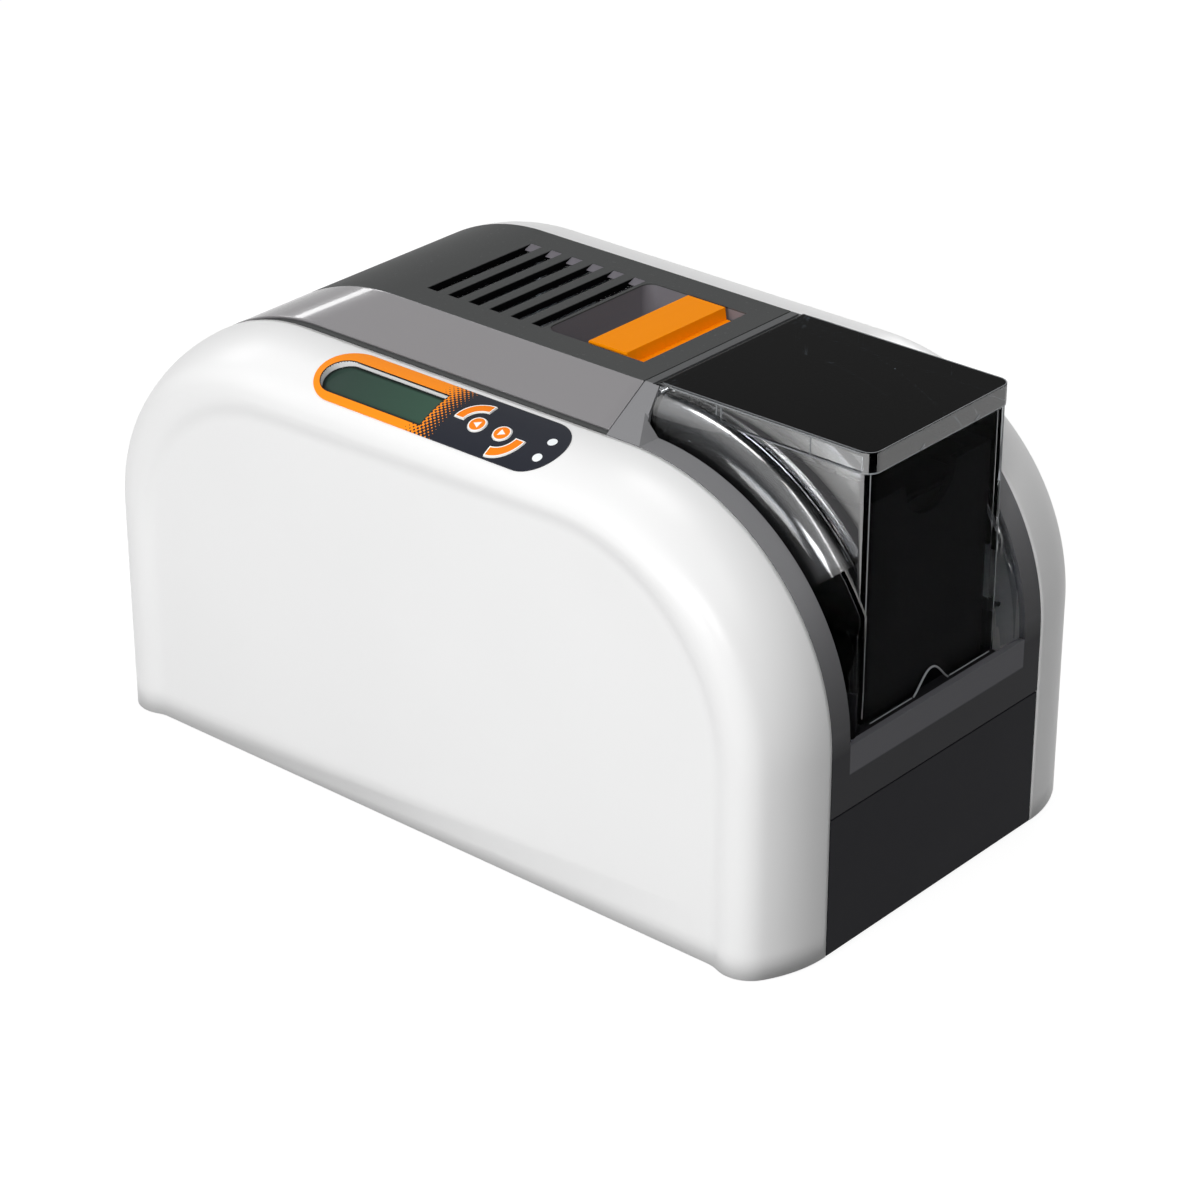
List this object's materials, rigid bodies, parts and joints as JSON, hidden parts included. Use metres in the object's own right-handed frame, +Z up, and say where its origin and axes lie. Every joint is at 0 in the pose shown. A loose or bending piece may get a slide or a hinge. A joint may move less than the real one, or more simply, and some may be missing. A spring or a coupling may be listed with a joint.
{
  "type": "id card printer",
  "caption": "Desktop ID card printer: arched casing, hinged top cover with latch, clear hopper cover, geared roller train, ribbon and print head.",
  "frame": {"origin": "middle of the footprint, on the surface the feet stand on", "axes": "+X towards the card hopper end, -Y towards the control panel side, +Z up"},
  "size_m": [0.356, 0.204, 0.2015],
  "materials": {
    "white_plastic": "satin gloss",
    "charcoal_plastic": "fine grain",
    "bezel_plastic": "satin",
    "inner_plastic": "matte",
    "dark_plastic": "fine grain",
    "foot_rubber": "matte",
    "zinc_steel": "zinc plated",
    "motor_black": "satin",
    "natural_plastic": "moulded acetal",
    "ribbon_film": "glossy film",
    "pin_steel": "turned",
    "cassette_plastic": "satin",
    "card_white": "glossy",
    "panel_film": "satin film",
    "circuit_board": "solder resist",
    "lcd_glass": "glossy",
    "light_pipe": "clear",
    "black_plastic": "satin",
    "grey_strip": "gloss",
    "head_aluminium": "extruded",
    "head_ceramic": "glazed",
    "orange_plastic": "satin gloss",
    "smoked_clear": "clear, smoked",
    "roller_rubber": "ground",
    "spool_black": "matte",
    "orange_key": "satin"
  },
  "bodies": {
    "root": {"near_side_shell": "white_plastic", "far_side_shell": "white_plastic", "front_panel": "charcoal_plastic", "hopper_bezel": "bezel_plastic", "hopper_well": "inner_plastic", "rear_panel": "dark_plastic", "base_plate": "charcoal_plastic", "rubber_feet": "foot_rubber", "near_chassis_plate": "zinc_steel", "far_chassis_plate": "zinc_steel", "card_bed": "inner_plastic", "drive_motor": "motor_black", "ribbon_cassette": "natural_plastic", "ribbon_film": "ribbon_film", "hinge_pins": "pin_steel", "card_cassette": "cassette_plastic", "card_stack": "card_white", "control_panel": "panel_film", "control_board": "circuit_board", "lcd_module": "lcd_glass", "status_lights": "light_pipe", "main_board": "circuit_board", "power_supply": "zinc_steel", "power_inlet": "black_plastic", "usb_socket": "zinc_steel"},
    "top_cover": {"lid_cover": "dark_plastic", "near_lid_strip": "grey_strip", "far_lid_strip": "grey_strip", "lid_frame": "zinc_steel", "latch_pin": "pin_steel", "latch_spring": "pin_steel", "head_bracket": "zinc_steel", "head_springs": "pin_steel", "heat_sink": "head_aluminium", "print_head": "head_ceramic"},
    "latch": {"latch_handle": "orange_plastic"},
    "hopper_cover": {"clear_cover": "smoked_clear"},
    "pick_roller_set": {"pick_roller": "roller_rubber", "pick_spindle": "natural_plastic"},
    "feed_roller_set": {"feed_roller": "roller_rubber", "feed_spindle": "natural_plastic"},
    "platen_set": {"platen_roller": "roller_rubber", "platen_spindle": "natural_plastic"},
    "exit_roller_set": {"exit_roller": "roller_rubber", "exit_spindle": "natural_plastic"},
    "hopper_idler": {"hopper_idler_gear": "natural_plastic"},
    "middle_idler": {"middle_idler_gear": "natural_plastic"},
    "rear_idler": {"rear_idler_gear": "natural_plastic"},
    "motor_rotor": {"motor_pinion": "pin_steel"},
    "feed_pinch": {"feed_pinch_roller": "roller_rubber"},
    "exit_pinch": {"exit_pinch_roller": "roller_rubber"},
    "supply": {"supply_spool": "spool_black"},
    "take_up": {"take_up_spool": "spool_black"},
    "back_button": {"back_key": "orange_key"},
    "left_button": {"left_key": "orange_key"},
    "right_button": {"right_key": "orange_key"},
    "enter_button": {"enter_key": "orange_key"},
    "rocker": {"rocker_switch": "black_plastic"}
  },
  "joints": [
    {"name": "top_cover_hinge", "type": "hinge", "parent": "root", "child": "top_cover", "pos_m": [-0.154, 0, 0.136], "axis": [0, -1, 0], "range_deg": [0, 60]},
    {"name": "latch_pull", "type": "hinge", "parent": "top_cover", "child": "latch", "pos_m": [0.06, 0, 0.193], "axis": [0, 1, 0], "range_deg": [0, 20], "stiffness_Nm_per_rad": 0.02, "springref_deg": -20.05},
    {"name": "hopper_cover_hinge", "type": "hinge", "parent": "root", "child": "hopper_cover", "pos_m": [0.0758, 0, 0.1981], "axis": [0, -1, 0], "range_deg": [0, 80]},
    {"name": "platen_spin", "type": "hinge", "parent": "root", "child": "platen_set", "pos_m": [-0.024, 0, 0.08], "axis": [0, -1, 0], "continuous": true},
    {"name": "pick_spin", "type": "hinge", "parent": "root", "child": "pick_roller_set", "pos_m": [0.128, 0, 0.08], "axis": [0, -1, 0], "continuous": true},
    {"name": "feed_spin", "type": "hinge", "parent": "root", "child": "feed_roller_set", "pos_m": [0.052, 0, 0.08], "axis": [0, -1, 0], "continuous": true},
    {"name": "exit_spin", "type": "hinge", "parent": "root", "child": "exit_roller_set", "pos_m": [-0.1, 0, 0.08], "axis": [0, -1, 0], "continuous": true},
    {"name": "hopper_idler_spin", "type": "hinge", "parent": "root", "child": "hopper_idler", "pos_m": [0.09, 0, 0.08], "axis": [0, -1, 0], "continuous": true},
    {"name": "middle_idler_spin", "type": "hinge", "parent": "root", "child": "middle_idler", "pos_m": [0.014, 0, 0.08], "axis": [0, -1, 0], "continuous": true},
    {"name": "rear_idler_spin", "type": "hinge", "parent": "root", "child": "rear_idler", "pos_m": [-0.062, 0, 0.08], "axis": [0, -1, 0], "continuous": true},
    {"name": "motor_spin", "type": "hinge", "parent": "root", "child": "motor_rotor", "pos_m": [0.014, 0, 0.0496], "axis": [0, -1, 0], "continuous": true},
    {"name": "feed_pinch_spin", "type": "hinge", "parent": "root", "child": "feed_pinch", "pos_m": [0.052, 0, 0.09406], "axis": [0, -1, 0], "continuous": true},
    {"name": "exit_pinch_spin", "type": "hinge", "parent": "root", "child": "exit_pinch", "pos_m": [-0.1, 0, 0.09406], "axis": [0, -1, 0], "continuous": true},
    {"name": "supply_spin", "type": "hinge", "parent": "root", "child": "supply", "pos_m": [-0.076, 0, 0.128], "axis": [0, -1, 0], "continuous": true},
    {"name": "take_up_spin", "type": "hinge", "parent": "root", "child": "take_up", "pos_m": [0.022, 0, 0.128], "axis": [0, -1, 0], "continuous": true},
    {"name": "back_key_press", "type": "slide", "parent": "root", "child": "back_button", "axis": [0, 0.3289, -0.9444], "range_m": [0, 0.0005], "stiffness_N_per_m": 400},
    {"name": "left_key_press", "type": "slide", "parent": "root", "child": "left_button", "axis": [0, 0.3289, -0.9444], "range_m": [0, 0.0005], "stiffness_N_per_m": 400},
    {"name": "right_key_press", "type": "slide", "parent": "root", "child": "right_button", "axis": [0, 0.3289, -0.9444], "range_m": [0, 0.0005], "stiffness_N_per_m": 400},
    {"name": "enter_key_press", "type": "slide", "parent": "root", "child": "enter_button", "axis": [0, 0.3289, -0.9444], "range_m": [0, 0.0005], "stiffness_N_per_m": 400},
    {"name": "power_rocker", "type": "hinge", "parent": "root", "child": "rocker", "pos_m": [-0.152, -0.017, 0.031], "axis": [0, 1, 0], "range_deg": [0, 12]}
  ],
  "couplings": [
    {"joint": "pick_spin", "follows": "platen_spin", "ratio": 1},
    {"joint": "feed_spin", "follows": "platen_spin", "ratio": 1},
    {"joint": "exit_spin", "follows": "platen_spin", "ratio": 1},
    {"joint": "hopper_idler_spin", "follows": "platen_spin", "ratio": -1},
    {"joint": "middle_idler_spin", "follows": "platen_spin", "ratio": -1},
    {"joint": "rear_idler_spin", "follows": "platen_spin", "ratio": -1},
    {"joint": "motor_spin", "follows": "platen_spin", "ratio": 1.6667},
    {"joint": "feed_pinch_spin", "follows": "platen_spin", "ratio": -1.6},
    {"joint": "exit_pinch_spin", "follows": "platen_spin", "ratio": -1.6}
  ]
}
